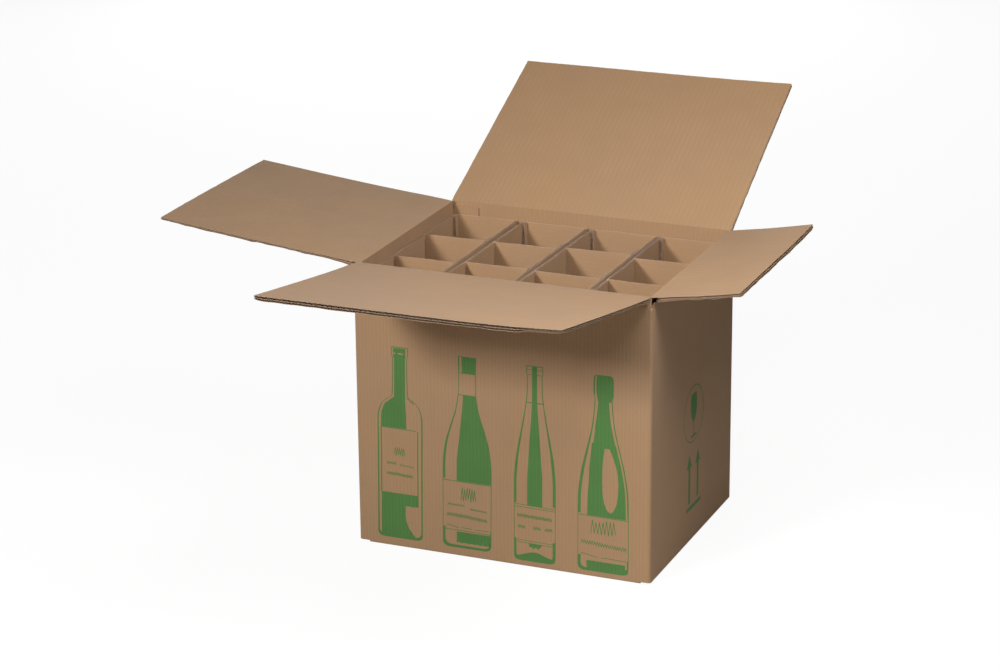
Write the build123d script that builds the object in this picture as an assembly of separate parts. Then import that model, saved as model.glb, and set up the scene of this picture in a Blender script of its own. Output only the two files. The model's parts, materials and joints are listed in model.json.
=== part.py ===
from build123d import *
import os
from math import radians, tan

# A shipping carton for twelve bottles: one folded blank of double-wall board with four lid flaps,
# and four folded dividers standing side by side in it, each with three cells from back to front.
# The frame stands on the floor: X along the long walls, Y from front to back, Z up,
# with the origin in the middle of the footprint.

# ---- driving sizes, millimetres ----
board = 6.8                  # double-wall board of the carton
inside_length = 420.0        # between the side walls
inside_width = 326.0         # between the front and back walls
divider_height = 374.0
headroom = 20.1              # from the dividers' top to the lid creases
long_flap = 318.0            # front and back flaps, each as deep as the whole opening
left_flap_length = 302.0     # the left and right flaps close edge to edge
right_flap_length = 120.0
bottom_flap = 168.3          # all four bottom flaps
bottom_seam = 4.0            # the long bottom flaps meet this far behind the middle
front_angle = 81.0           # how far each lid flap leans outwards from upright
back_angle = 63.7
left_angle = 83.9
right_angle = 80.4
divider_board = 3.0
divider_width = 102.0        # one divider, left to right
tab_width = 39.0             # glue tab along the inside of the back wall
tab_board = 3.2              # the tab is rolled flat before it is glued

# ---- clearances and small forms, millimetres and degrees ----
layer_gap = 0.3              # between sheets that lie on each other
crease_gap = 0.3             # from a hinge line to the board on each side of it
crease_edge = 0.15           # half the thickness left where the board is creased
inner_bevel = 42.0           # slope of the creased board on the inside
outer_bevel = 28.0           # and on the outside
long_inset = 3.0             # long flaps stop this far from the corners
tip_taper = 4.0              # and narrow by this much more on each side towards their tip
short_clearance = 1.5        # short flaps pass between the long walls
slot_depth = 8.0             # corner slots reach this far below the side creases
corner_radius = 4.0          # outside of the upright folds
inner_radius = 1.0
foot_height = 1.0            # underside of the side walls' crushed bottom fold
foot_start = 1.5             # from the wall's face to the flat of the crushed fold
foot_end = 4.0               # and to where the flap starts to rise
foot_run = 14.5              # and to where the short bottom flap is level
foot_shift = 1.3             # the rise's upper side starts this much nearer the wall
heel_height = 9.9            # inner corner between a side wall and its bottom flap
bottom_inset = 15.5          # long bottom flaps stop this far from the corners
wall_foot = 3.0              # lower edge of the walls at the corners
bottom_round = 2.5           # outside of the long bottom folds
round_share = 0.3            # where that round's middle lies, as a share of it
tab_round = 3.0              # upper and lower corner of the glue tab's end
divider_clearance = 0.5      # at the front and back of each divider
divider_fillet = 2.0         # outside of the divider's folds
lip_length = 9.0             # end of the divider's sheet, folded forward beside its left wall
lip_gap = 1.2
slot_width = 5.5             # slots in the divider's left wall
slot_rim = 6.0               # board left above and below each slot
tongue = 2.2                 # depth of a cross panel's tongue in its slot
tongue_gap = 0.5             # from the panel's end to the wall below its tongue
tongue_rise = 8.5            # the tongue's lower end, inside the slot
tongue_chamfer = 9.0         # cut off the tongue's upper corner
tongue_slope = 40.0
flange_length = 26.0         # glued foot of each cross panel on the right wall

# ---- worked out from them ----
outer_length = inside_length + 2 * board
outer_width = inside_width + 2 * board
bottom_stack = 2 * board + layer_gap
crest = bottom_stack + divider_height + headroom
side_axis_height = crest - board
back_axis_height = crest - board / 2 + layer_gap
front_axis_height = crest + 2 * layer_gap
slot_bottom = side_axis_height - slot_depth
column_pitch = inside_length / 4
divider_depth = inside_width - tab_board - 2 * divider_clearance
divider_y = -tab_board / 2           # in front of the glue tab
cell_depth = (divider_depth - 4 * divider_board) / 3
cross_places = [-(cell_depth + divider_board) / 2, (cell_depth + divider_board) / 2]

# each lid crease: how far its hinge line lies from the outer face, its height, how far the flap
# reaches to the left and to the right as seen from outside, its length, lean, and turn about Z
side_half = inside_width / 2 - short_clearance
long_half = outer_length / 2 - long_inset
tab_half = side_half - tab_board
flaps = {
    "front_flap": (board, front_axis_height, long_half, long_half, long_flap, front_angle, 0),
    "back_flap": (board / 2, back_axis_height, long_half, long_half, long_flap, back_angle, 180),
    "left_flap": (0.0, side_axis_height, tab_half, side_half, left_flap_length, left_angle, -90),
    "right_flap": (0.0, side_axis_height, side_half, side_half, right_flap_length, right_angle, 90),
}


def profile(points, low, high):
    """A solid with this outline in the YZ plane, from X = low to X = high."""
    outline = Plane.YZ * make_face(Polyline(*points, close=True))
    return Pos(low, 0, 0) * extrude(outline, amount=high - low)


def creased_board(hinge_offset, length):
    """Section of a sheet that stands on its hinge line and thins down to it."""
    edge_in = min(board, hinge_offset + crease_edge)
    edge_out = max(0.0, hinge_offset - crease_edge)
    rise_in = crease_gap + (board - edge_in) / tan(radians(inner_bevel))
    rise_out = crease_gap + edge_out / tan(radians(outer_bevel))
    points = [(edge_in, crease_gap), (board, rise_in), (board, length), (0, length)]
    if edge_out > 0:
        points.append((0, rise_out))
    points.append((edge_out, crease_gap))
    if edge_in == board:
        points = [point for point in points if point != (board, rise_in)]
    return [(n - hinge_offset, s) for n, s in points]


def reach(turn):
    """Distance from the carton's middle to the outer face on this side."""
    return outer_width / 2 if turn in (0, 180) else outer_length / 2


def place_on_side(shape, turn, hinge_offset, height):
    """Moves a shape made on a hinge line along X to its crease on one side of the carton."""
    return Rot(0, 0, turn) * Pos(0, hinge_offset - reach(turn), height) * shape


def lid_flap(name):
    hinge_offset, height, half_low, half_high, length, angle, turn = flaps[name]
    panel = profile(creased_board(hinge_offset, length), -half_low, half_high)
    if length == long_flap:
        sliver = Polyline((half_high, 0), (half_high, length), (half_high - tip_taper, length), close=True)
        wedge = extrude(Plane.XZ * make_face(sliver), amount=2 * board, both=True)
        panel -= wedge + mirror(wedge, about=Plane.YZ)
    return place_on_side(Rot(angle, 0, 0) * panel, turn, hinge_offset, height)


def wall_top(name):
    """The wall between the corner slots, from their lower end up to the crease."""
    hinge_offset, height, half_low, half_high, length, angle, turn = flaps[name]
    section = [(n, -s) for n, s in creased_board(hinge_offset, height - slot_bottom + board)]
    return place_on_side(profile(section, -half_low, half_high), turn, hinge_offset, height)


def walls():
    """Four walls with rounded upright folds, as high as the corner slots leave them whole."""
    height = slot_bottom - wall_foot
    outside = Box(outer_length, outer_width, height)
    right_folds = outside.edges().filter_by(Axis.Z).group_by(Axis.X)[-1]
    left_front_fold = outside.edges().filter_by(Axis.Z).group_by(Axis.X)[0].sort_by(Axis.Y)[0:1]
    outside = fillet(right_folds + left_front_fold, corner_radius)
    inside = Box(inside_length, inside_width, height)
    inside = fillet(inside.edges().filter_by(Axis.Z), inner_radius)
    ring = Pos(0, 0, wall_foot + height / 2) * (outside - inside)
    # the left wall's last fold is rounded inside the square end of the back wall
    nook = Box(corner_radius, corner_radius, height) - Pos(corner_radius / 2, -corner_radius / 2) * Cylinder(
        corner_radius, height)
    nook_place = Pos(
        (corner_radius - outer_length) / 2,
        (inside_width - corner_radius) / 2,
        wall_foot + height / 2,
    )
    return ring - nook_place * nook


def glue_tab():
    """The left wall's end, folded along the inside of the back wall and glued there."""
    top = side_axis_height
    tab = Box(tab_width, tab_board, top - wall_foot)
    tab = fillet(tab.edges().filter_by(Axis.Y).group_by(Axis.X)[-1], tab_round)
    return Pos(
        (tab_width - inside_length) / 2, (inside_width - tab_board) / 2, (top + wall_foot) / 2
    ) * tab


def bottom_long(turn):
    """A long bottom flap, against the floor."""
    half = outer_width / 2
    rounding = bottom_round * round_share
    end = bottom_flap - half + (bottom_seam if turn == 0 else -bottom_seam)
    section = [
        (-half, 3 * board), (-half, bottom_round), (-half + rounding, rounding),
        (-half + bottom_round, 0), (end, 0), (end, board),
        (-half + board, board), (-half + board, 3 * board),
    ]
    width = outer_length / 2 - bottom_inset
    return Rot(0, 0, turn) * profile(section, -width, width)


def bottom_short(turn):
    """A short bottom flap: its fold is crushed down beside the long flaps, then it steps over them."""
    half = outer_length / 2
    level = board + layer_gap
    section = [
        (-half, 3 * board), (-half, wall_foot), (-half + foot_start, foot_height),
        (-half + foot_end, foot_height), (-half + foot_run, level), (-half + bottom_flap, level),
        (-half + bottom_flap, level + board), (-half + foot_run - foot_shift, level + board),
        (-half + board, heel_height), (-half + board, 3 * board),
    ]
    return Rot(0, 0, turn) * profile(section, -side_half, side_half)


def carton_body():
    body = walls() + glue_tab()
    for name in flaps:
        body += wall_top(name)
    for turn in (0, 180):
        body += bottom_long(turn)
    for turn in (-90, 90):
        body += bottom_short(turn)
    return body


def cross_panel(centre_y):
    """A panel between two cells, glued by its foot to the right wall, its left end in a slot."""
    right_face = divider_width / 2 - divider_board
    left_end = -divider_width / 2 + divider_board - tongue
    span = right_face - left_end
    panel = Box(span, divider_board, divider_height)
    top_left = panel.edges().filter_by(Axis.Y).group_by(Axis.X)[0].sort_by(Axis.Z)[-1]
    panel = chamfer(top_left, tongue_chamfer, angle=tongue_slope)
    notch = Box(2 * (tongue + tongue_gap), 2 * divider_board, 2 * tongue_rise)
    panel -= Pos(-span / 2, 0, -divider_height / 2) * notch
    centre = Pos((right_face + left_end) / 2, centre_y, divider_height / 2)
    flange = Box(divider_board, flange_length, divider_height)
    flange_centre = Pos(
        right_face - divider_board / 2,
        centre_y + (flange_length - divider_board) / 2,
        divider_height / 2,
    )
    return centre * panel + flange_centre * flange


def divider():
    """One sheet folded round three cells, open at its back left corner, with two cross panels."""
    half_x = divider_width / 2
    half_y = divider_depth / 2
    middle = divider_height / 2
    outside = Box(divider_width, divider_depth, divider_height)
    folds = outside.edges().filter_by(Axis.Z).group_by(Axis.X)
    outside = fillet(folds[-1] + folds[0].sort_by(Axis.Y)[0:1], divider_fillet)
    inside = Box(divider_width - 2 * divider_board, divider_depth - 2 * divider_board, divider_height)
    sheet = Pos(0, 0, middle) * (outside - inside)
    # the sheet's two ends: a slit, and a lip folded forward beside the left wall
    slit = Box(lip_gap, divider_board * 2, divider_height)
    sheet -= Pos(-half_x + divider_board + lip_gap / 2, half_y, middle) * slit
    lip = Box(divider_board, lip_length + divider_board, divider_height)
    sheet += Pos(
        -half_x + divider_board * 1.5 + lip_gap, half_y - (lip_length + divider_board) / 2, middle
    ) * lip
    slot = Box(divider_board * 2, slot_width, divider_height - 2 * slot_rim)
    for centre_y in cross_places:
        sheet -= Pos(-half_x, centre_y - (slot_width - divider_board) / 2 + layer_gap, middle) * slot
        sheet += cross_panel(centre_y)
    return sheet


os.makedirs("parts", exist_ok=True)
export_step(carton_body(), "parts/carton_body.step")
for flap_name in flaps:
    export_step(lid_flap(flap_name), "parts/" + flap_name + ".step")
for column in range(4):
    column_x = (column - 1.5) * column_pitch
    place = Pos(column_x, divider_y, bottom_stack)
    export_step(place * divider(), "parts/divider_%d.step" % (column + 1))
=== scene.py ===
import json
import math
from math import cos, pi, radians, sin

import bpy
import numpy as np
from bpy.props import FloatProperty, FloatVectorProperty, PointerProperty
from mathutils import Matrix, Vector
from mathutils.geometry import tessellate_polygon


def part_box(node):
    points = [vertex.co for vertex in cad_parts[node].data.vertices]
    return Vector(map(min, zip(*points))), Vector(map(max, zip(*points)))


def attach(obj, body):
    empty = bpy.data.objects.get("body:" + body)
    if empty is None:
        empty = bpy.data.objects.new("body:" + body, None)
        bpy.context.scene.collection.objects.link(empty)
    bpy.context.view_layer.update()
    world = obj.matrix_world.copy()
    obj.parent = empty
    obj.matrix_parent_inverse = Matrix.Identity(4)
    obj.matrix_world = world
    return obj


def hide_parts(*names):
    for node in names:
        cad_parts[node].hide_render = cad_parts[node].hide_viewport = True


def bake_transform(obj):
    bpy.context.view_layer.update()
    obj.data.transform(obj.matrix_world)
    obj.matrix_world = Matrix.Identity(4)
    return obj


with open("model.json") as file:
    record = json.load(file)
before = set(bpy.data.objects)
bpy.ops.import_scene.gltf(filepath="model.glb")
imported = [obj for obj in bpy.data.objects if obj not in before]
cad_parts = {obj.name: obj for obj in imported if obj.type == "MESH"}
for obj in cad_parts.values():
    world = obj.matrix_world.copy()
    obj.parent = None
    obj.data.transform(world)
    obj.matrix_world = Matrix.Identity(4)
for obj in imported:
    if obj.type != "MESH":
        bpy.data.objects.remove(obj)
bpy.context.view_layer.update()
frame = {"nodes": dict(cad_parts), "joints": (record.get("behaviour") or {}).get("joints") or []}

bl_info = {
    "name": "Bottle Carton",
    "version": (1, 0, 0),
    "blender": (4, 5, 0),
    "location": "3D View > Sidebar > Carton",
    "description": "Finishes an open twelve-bottle carton with its dividers, flaps and print",
    "category": "Object",
}

MM = 0.001
BODY_LOW, BODY_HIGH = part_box("carton_body")
JOINTS = {joint["name"]: joint for joint in frame["joints"]}


# ---- what a user would change ----

def length(name, description, default):
    return FloatProperty(name=name, description=description, default=default, unit="LENGTH", precision=5)


def colour(name, description, default):
    return FloatVectorProperty(
        name=name, description=description, default=default, size=3, min=0.0, max=1.0, subtype="COLOR")


def power(name, description, default):
    return FloatProperty(name=name, description=description, default=default, unit="POWER")


class CartonBoard(bpy.types.PropertyGroup):
    """The double-wall board of the carton."""
    thickness: length("Thickness", "Whole thickness of the double-wall board", 0.0068)
    liner: length("Liner", "Thickness of each of the three flat sheets", 0.00042)
    medium: length("Medium", "Thickness of the two wavy sheets", 0.00045)
    inner_pitch: length("Inner pitch", "Wave length of the sheet next to the inside", 0.00765)
    outer_pitch: length("Outer pitch", "Wave length of the sheet next to the outside", 0.00535)
    split: length("Split", "Height of the middle sheet above the outside face", 0.0030)
    kraft: colour("Kraft", "Colour of the paper", (0.43, 0.262, 0.141))


class FlapSizes(bpy.types.PropertyGroup):
    """The four lid flaps, measured from their creases."""
    front: length("Front", "Length of the front flap", 0.318)
    back: length("Back", "Length of the back flap", 0.318)
    left: length("Left", "Length of the left flap", 0.302)
    right: length("Right", "Length of the right flap", 0.120)


class DividerSizes(bpy.types.PropertyGroup):
    """The folded sheets that part the bottles."""
    thickness: length("Thickness", "Thickness of the single-wall sheet", 0.003)
    liner: length("Liner", "Thickness of its flat sheets", 0.00045)
    pitch: length("Pitch", "Wave length of its wavy sheet", 0.0065)
    kraft: colour("Kraft", "Colour of the paper", (0.45, 0.276, 0.150))


class PrintFinish(bpy.types.PropertyGroup):
    """The one-colour print on the walls."""
    ink: colour("Ink", "Colour of the ink on the board", (0.092, 0.225, 0.060))
    film: length("Film", "How far the ink stands on the board", 0.00006)


class StudioLook(bpy.types.PropertyGroup):
    """Floor, lights and camera."""
    floor: colour("Floor", "Colour of the floor", (0.5, 0.5, 0.5))
    key: power("Front light", "Power of the light in front", 64.0)
    top: power("Top light", "Power of the light above", 10.0)
    side: power("Side light", "Power of the weak light on the right", 8.0)
    back: power("Back light", "Power of the light behind", 26.0)
    ambient: FloatProperty(name="Room", description="Light from all round", default=0.02)
    backdrop: FloatProperty(name="Backdrop", description="How white floor and room look", default=1.16)


# ---- small tools ----

def packed(array, kind):
    """A flat array for foreach_set."""
    return np.ascontiguousarray(array, kind).ravel()


def put(name, data):
    """A new object in the scene."""
    made = bpy.data.objects.new(name, data)
    bpy.context.scene.collection.objects.link(made)
    return made


def build(name, verts, faces, materials, marks=None, smooth=None):
    """A mesh object from metres, with one material index for each face."""
    mesh = bpy.data.meshes.new(name)
    mesh.from_pydata([tuple(v) for v in verts], [], [tuple(f) for f in faces])
    for material in materials:
        mesh.materials.append(material)
    if marks is not None:
        mesh.polygons.foreach_set("material_index", packed(marks, np.int32))
    if smooth is not None:
        mesh.polygons.foreach_set("use_smooth", packed(smooth, bool))
        mesh.set_sharp_from_angle(angle=radians(32))
    mesh.update()
    return put(name, mesh)


class Shells:
    """Collects closed shells, then makes one piece of them."""

    def __init__(self):
        self.verts, self.faces, self.marks, self.smooth = [], [], [], []
        self.count = 0

    def add(self, verts, faces, marks, smooth):
        verts = np.asarray(verts, float)
        # a shell that comes out inside out is turned round
        corners = np.array([(face[0], face[j], face[j + 1])
                            for face in faces for j in range(1, len(face) - 1)])
        a, b, c = (verts[corners[:, k]] for k in range(3))
        if np.einsum("ij,ij->", a, np.cross(b, c)) < 0:
            faces = [face[::-1] for face in faces]
        self.faces += [tuple(i + self.count for i in face) for face in faces]
        self.verts.append(verts)
        self.marks += list(marks)
        self.smooth += list(smooth)
        self.count += len(verts)

    def slab(self, top, bottom, mark=0, edge_mark=0, mask=None):
        """Two grids of points with the same shape, closed along their rims and round any hole."""
        rows, columns = top.shape[:2]
        if mask is None:
            mask = np.ones((rows - 1, columns - 1), bool)
        number = np.arange(rows * columns).reshape(rows, columns)
        ring = [number[:-1, :-1], number[1:, :-1], number[1:, 1:], number[:-1, 1:]]
        cells = np.stack([corner[mask] for corner in ring], -1)
        faces = [cells, cells[:, ::-1] + rows * columns]
        walled = np.pad(mask, 1)
        beside = [walled[1:-1, :-2], walled[2:, 1:-1], walled[1:-1, 2:], walled[:-2, 1:-1]]
        for k, other in enumerate(beside):
            rim = mask & ~other
            a, b = ring[k][rim], ring[(k + 1) % 4][rim]
            faces.append(np.stack([b, a, a + rows * columns, b + rows * columns], -1))
        flat = len(cells) * 2
        faces = np.concatenate(faces)
        marks = [mark] * flat + [edge_mark] * (len(faces) - flat)
        smooth = [True] * flat + [False] * (len(faces) - flat)
        verts = np.concatenate([top.reshape(-1, 3), bottom.reshape(-1, 3)])
        used = np.unique(faces)
        renumber = np.full(len(verts), -1)
        renumber[used] = np.arange(len(used))
        self.add(verts[used], renumber[faces].tolist(), marks, smooth)

    def piece(self, name, materials):
        return build(name, np.concatenate(self.verts), self.faces, materials, self.marks, self.smooth)


def wobble(points, scale, seed):
    """Smooth made-up unevenness between about -1 and 1, the same at each run."""
    rng = np.random.default_rng(seed)
    points = np.asarray(points, float)
    total = np.zeros(points.shape[:-1])
    for _ in range(7):
        direction = rng.normal(size=points.shape[-1])
        total += np.sin(points @ direction * (2 * pi / scale) * 0.6 + rng.uniform(0, 2 * pi))
    return total / 3.0


# ---- node trees ----

def adder(tree):
    """A short way to add nodes to this tree, giving each new node's outputs."""
    def add(kind, inputs=None, **settings):
        # an input is a value, a socket to link from, or a list of such sockets
        made = tree.nodes.new(kind)
        for name, value in settings.items():
            setattr(made, name, value)
        for name, value in (inputs or {}).items():
            if isinstance(value, (list, bpy.types.NodeSocket)):
                for source in value if isinstance(value, list) else [value]:
                    tree.links.new(source, made.inputs[name])
            else:
                made.inputs[name].default_value = value
        return made.outputs
    return add


def maths_for(add):
    """A short way to add maths nodes."""
    return lambda operation, *values: add(
        "ShaderNodeMath", dict(enumerate(values)), operation=operation)[0]


def new_group(name, kind, inputs, outputs):
    """An empty node group with these sockets: (name, kind, default) and (name, kind)."""
    tree = bpy.data.node_groups.new(name, kind)
    for socket, sort, default in inputs:
        made = tree.interface.new_socket(socket, in_out="INPUT", socket_type="NodeSocket" + sort)
        if default is not None:
            made.default_value = default
    for socket, sort in outputs:
        tree.interface.new_socket(socket, in_out="OUTPUT", socket_type="NodeSocket" + sort)
    return tree


def wavy_tree():
    """Grid, wave, thickness: one medium sheet, closed on all sides."""
    tree = new_group("Wavy Medium", "GeometryNodeTree", (
        ("Geometry", "Geometry", None), ("Width", "Float", 0.1), ("Length", "Float", 0.1),
        ("Pitch", "Float", 0.0077), ("Height", "Float", 0.003), ("Thickness", "Float", 0.0003),
        ("Phase", "Float", 0.0), ("Columns", "Int", 50), ("Rows", "Int", 2), ("Material", "Material", None),
    ), [("Geometry", "Geometry")])
    add = adder(tree)
    maths = maths_for(add)
    given = add("NodeGroupInput")
    grid = add("GeometryNodeMeshGrid", {
        "Size X": given["Width"], "Size Y": given["Length"],
        "Vertices X": given["Columns"], "Vertices Y": given["Rows"]})[0]
    place = add("ShaderNodeSeparateXYZ", {0: add("GeometryNodeInputPosition")[0]})
    turns = maths("DIVIDE", place["X"], given["Pitch"])
    wave = maths("SINE", maths("MULTIPLY_ADD", turns, 2 * pi, given["Phase"]))
    rise = maths("SUBTRACT", given["Height"], given["Thickness"])
    lift = maths("MULTIPLY", wave, maths("MULTIPLY", rise, 0.5))
    lift = maths("SUBTRACT", lift, maths("MULTIPLY", given["Thickness"], 0.5))
    offset = add("ShaderNodeCombineXYZ", {"Z": lift})[0]
    waved = add("GeometryNodeSetPosition", {"Geometry": grid, "Offset": offset})[0]
    raised = add("GeometryNodeExtrudeMesh", {
        "Mesh": waved, "Offset": add("ShaderNodeCombineXYZ", {"Z": 1.0})[0],
        "Offset Scale": given["Thickness"], "Individual": False})[0]
    join = add("GeometryNodeJoinGeometry", {0: [raised, add("GeometryNodeFlipFaces", {"Mesh": waved})[0]]})[0]
    merge = add("GeometryNodeMergeByDistance", {"Geometry": join, "Distance": 1e-6})[0]
    real = add("GeometryNodeRealizeInstances", {0: merge})[0]
    finish = add("GeometryNodeSetMaterial", {"Geometry": real, "Material": given["Material"]})[0]
    add("NodeGroupOutput", {0: finish})
    return tree


def wavy_sheet(width, pitch, height, thickness, rows, phase=0.0, steps=6):
    """Points and faces of a medium: X across the waves from 0, Y the row's number, Z from its middle."""
    tree = bpy.data.node_groups.get("Wavy Medium") or wavy_tree()
    columns = max(3, round(width / pitch * steps) + 1)
    carrier = build("wave_carrier", [(0, 0, 0), (1, 0, 0), (0, 1, 0)], [(0, 1, 2)], [])
    modifier = carrier.modifiers.new("Wave", "NODES")
    modifier.node_group = tree
    values = {
        "Width": width, "Length": float(rows - 1), "Pitch": pitch, "Height": height,
        "Thickness": thickness, "Phase": phase, "Columns": columns, "Rows": rows,
    }
    for item in tree.interface.items_tree:
        if item.item_type == "SOCKET" and item.in_out == "INPUT" and item.name in values:
            modifier[item.identifier] = values[item.name]
    ready = carrier.evaluated_get(bpy.context.evaluated_depsgraph_get())
    mesh = bpy.data.meshes.new_from_object(ready)
    points = np.empty(len(mesh.vertices) * 3, np.float32)
    mesh.vertices.foreach_get("co", points)
    points = points.reshape(-1, 3).astype(float)
    faces = [tuple(p.vertices) for p in mesh.polygons]
    carrier.modifiers.clear()
    bpy.data.objects.remove(carrier)
    bpy.data.meshes.remove(mesh)
    points[:, 0] += width / 2
    points[:, 1] = np.round(points[:, 1] + (rows - 1) / 2)
    return points, faces


# ---- materials ----

def tree_of(owner):
    """The emptied node tree of a new material or world."""
    owner.use_nodes = True
    owner.node_tree.nodes.clear()
    return owner.node_tree


def paper_group():
    """Kraft paper: fibres, specks and clouds of colour, and the waves of the board showing through."""
    tree = new_group("Kraft Paper", "ShaderNodeTree", (
        ("Color", "Color", (0.42, 0.26, 0.15, 1)), ("Wave Pitch", "Float", 0.00765),
        ("Wave Depth", "Float", 0.4), ("Across", "Vector", (1, 0, 0)), ("Along", "Vector", (0, 0, 1)),
        ("Clouds", "Float", 0.08), ("Fibres", "Float", 0.1),
    ), [("Color", "Color"), ("Roughness", "Float"), ("Height", "Float")])
    add = adder(tree)
    maths = maths_for(add)
    given = add("NodeGroupInput")
    place = add("ShaderNodeTexCoord")["Object"]
    dot = lambda a, b: add("ShaderNodeVectorMath", {0: a, 1: b}, operation="DOT_PRODUCT")["Value"]
    noise = lambda scale, detail, rough, vector=place: add("ShaderNodeTexNoise", {
        "Scale": scale, "Detail": detail, "Roughness": rough, "Vector": vector})["Fac"]
    uneven = lambda source, amount: maths("MULTIPLY", maths("SUBTRACT", source, 0.5), amount)

    across = dot(place, given["Across"])
    along = dot(place, given["Along"])
    # fibres are drawn out along the waves
    pull = {0: maths("MULTIPLY", across, 900.0), 1: maths("MULTIPLY", along, 160.0)}
    fibre = noise(1.0, 4.0, 0.65, add("ShaderNodeCombineXYZ", pull)[0])
    cloud = noise(22.0, 3.0, 0.55)
    broad = noise(5.0, 2.0, 0.5)
    speck = noise(650.0, 2.0, 0.5)
    # the waves show as faint bands that fade in and out
    turn = maths("MULTIPLY", maths("DIVIDE", across, given["Wave Pitch"]), 2 * pi)
    wave = maths("SINE", maths("ADD", turn, maths("MULTIPLY", broad, 2.0)))
    strength = maths("MULTIPLY", given["Wave Depth"], maths("ADD", maths("MULTIPLY", cloud, 1.2), -0.1))
    band = maths("MULTIPLY", wave, strength)
    shade = maths("ADD", uneven(cloud, given["Clouds"]), uneven(broad, given["Clouds"]))
    shade = maths("ADD", shade, uneven(fibre, given["Fibres"]))
    shade = maths("ADD", shade, maths("MULTIPLY", band, 0.055))
    dark = add("ShaderNodeMapRange", {"Value": speck, "From Min": 0.66, "From Max": 0.78, "To Max": 0.22})[0]
    tint = add("ShaderNodeHueSaturation", {
        "Color": given["Color"], "Value": maths("ADD", 1.0, maths("SUBTRACT", shade, dark)),
        "Saturation": maths("ADD", 1.0, uneven(broad, 0.12))})[0]
    height = maths("ADD", maths("MULTIPLY", band, 0.6), maths("MULTIPLY", fibre, 0.55))
    add("NodeGroupOutput", {
        "Color": tint, "Roughness": maths("ADD", 0.72, maths("MULTIPLY", fibre, 0.2)),
        "Height": maths("ADD", height, maths("MULTIPLY", speck, 0.3))})
    return tree


def kraft(name, tint, pitch, across, along, waves=0.4, clouds=0.08, fibres=0.12, bump=0.00016, walls=False):
    """Kraft paper whose waves repeat along one direction of the piece, or along each wall of a box."""
    material = bpy.data.materials.new(name)
    add = adder(tree_of(material))
    if walls:
        # front and back walls have their waves along X, side walls along Y
        normal = add("ShaderNodeNewGeometry")["True Normal"]
        facing = add("ShaderNodeVectorMath", {0: normal}, operation="ABSOLUTE")[0]
        swap = add("ShaderNodeSeparateXYZ", {0: facing})
        across = add("ShaderNodeCombineXYZ", {"X": swap["Y"], "Y": swap["X"]})[0]
    paper = add("ShaderNodeGroup", {
        "Color": (*tint, 1), "Wave Pitch": pitch, "Wave Depth": waves, "Across": across,
        "Along": along, "Clouds": clouds, "Fibres": fibres,
    }, node_tree=bpy.data.node_groups.get("Kraft Paper") or paper_group())
    relief = add("ShaderNodeBump", {"Strength": 0.8, "Distance": bump, "Height": paper["Height"]})[0]
    shader = add("ShaderNodeBsdfPrincipled", {
        "Specular IOR Level": 0.25, "Sheen Weight": 0.06, "Sheen Roughness": 0.6,
        "Base Color": paper["Color"], "Roughness": paper["Roughness"], "Normal": relief})[0]
    add("ShaderNodeOutputMaterial", {0: shader})
    return material


def mixed(colour, white):
    return tuple(c * (1 - white) + white for c in colour)


def papers():
    """All the board materials, made once."""
    done = bpy.data.materials.get("Kraft front and back")
    if not done:
        scene = bpy.context.scene
        tone, pale = tuple(scene.carton_board.kraft), tuple(scene.carton_dividers.kraft)
        inner, outer = scene.carton_board.inner_pitch, scene.carton_board.outer_pitch
        x, y, z = (1, 0, 0), (0, 1, 0), (0, 0, 1)
        kraft("Kraft front and back", tone, inner, x, (0, 0.8, 0.6), waves=0.7, clouds=0.1)
        kraft("Kraft sides", tone, inner, y, (0.9, 0, 0.4), waves=1.3, clouds=0.14, bump=0.00024)
        kraft("Kraft walls", tone, outer, x, z, waves=1.0, bump=0.0002, walls=True)
        kraft("Kraft outside", tone, outer, x, (0, 1, 0.6), waves=0.9, bump=0.0002)
        kraft("Kraft outside sides", tone, outer, y, (0.9, 0, 0.4), waves=0.9, bump=0.0002)
        kraft("Kraft divider", pale, scene.carton_dividers.pitch, z, (0.7, 0.7, 0), waves=0.35, clouds=0.12,
              fibres=0.2, bump=0.00018)
        kraft("Cut liner", mixed(tone, 0.14), inner, x, z, waves=0, fibres=0.5, bump=0.0003)
        kraft("Cut divider", mixed(pale, 0.3), inner, x, z, waves=0, fibres=0.5, bump=0.0003)
        kraft("Medium", tuple(c * 0.8 for c in tone), inner, z, x, waves=0, fibres=0.4, bump=0.0003)
    return bpy.data.materials


# ---- the four lid flaps ----

CREASE_GAP = 0.0003
CREASE_EDGE = 0.00015
FOLD_SHARPNESS = 1.0
PINCH = {"front": 0.36, "back": 0.34, "left": 0.5, "right": 0.26}
INNER_BEVEL = radians(42)
OUTER_BEVEL = radians(28)


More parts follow.
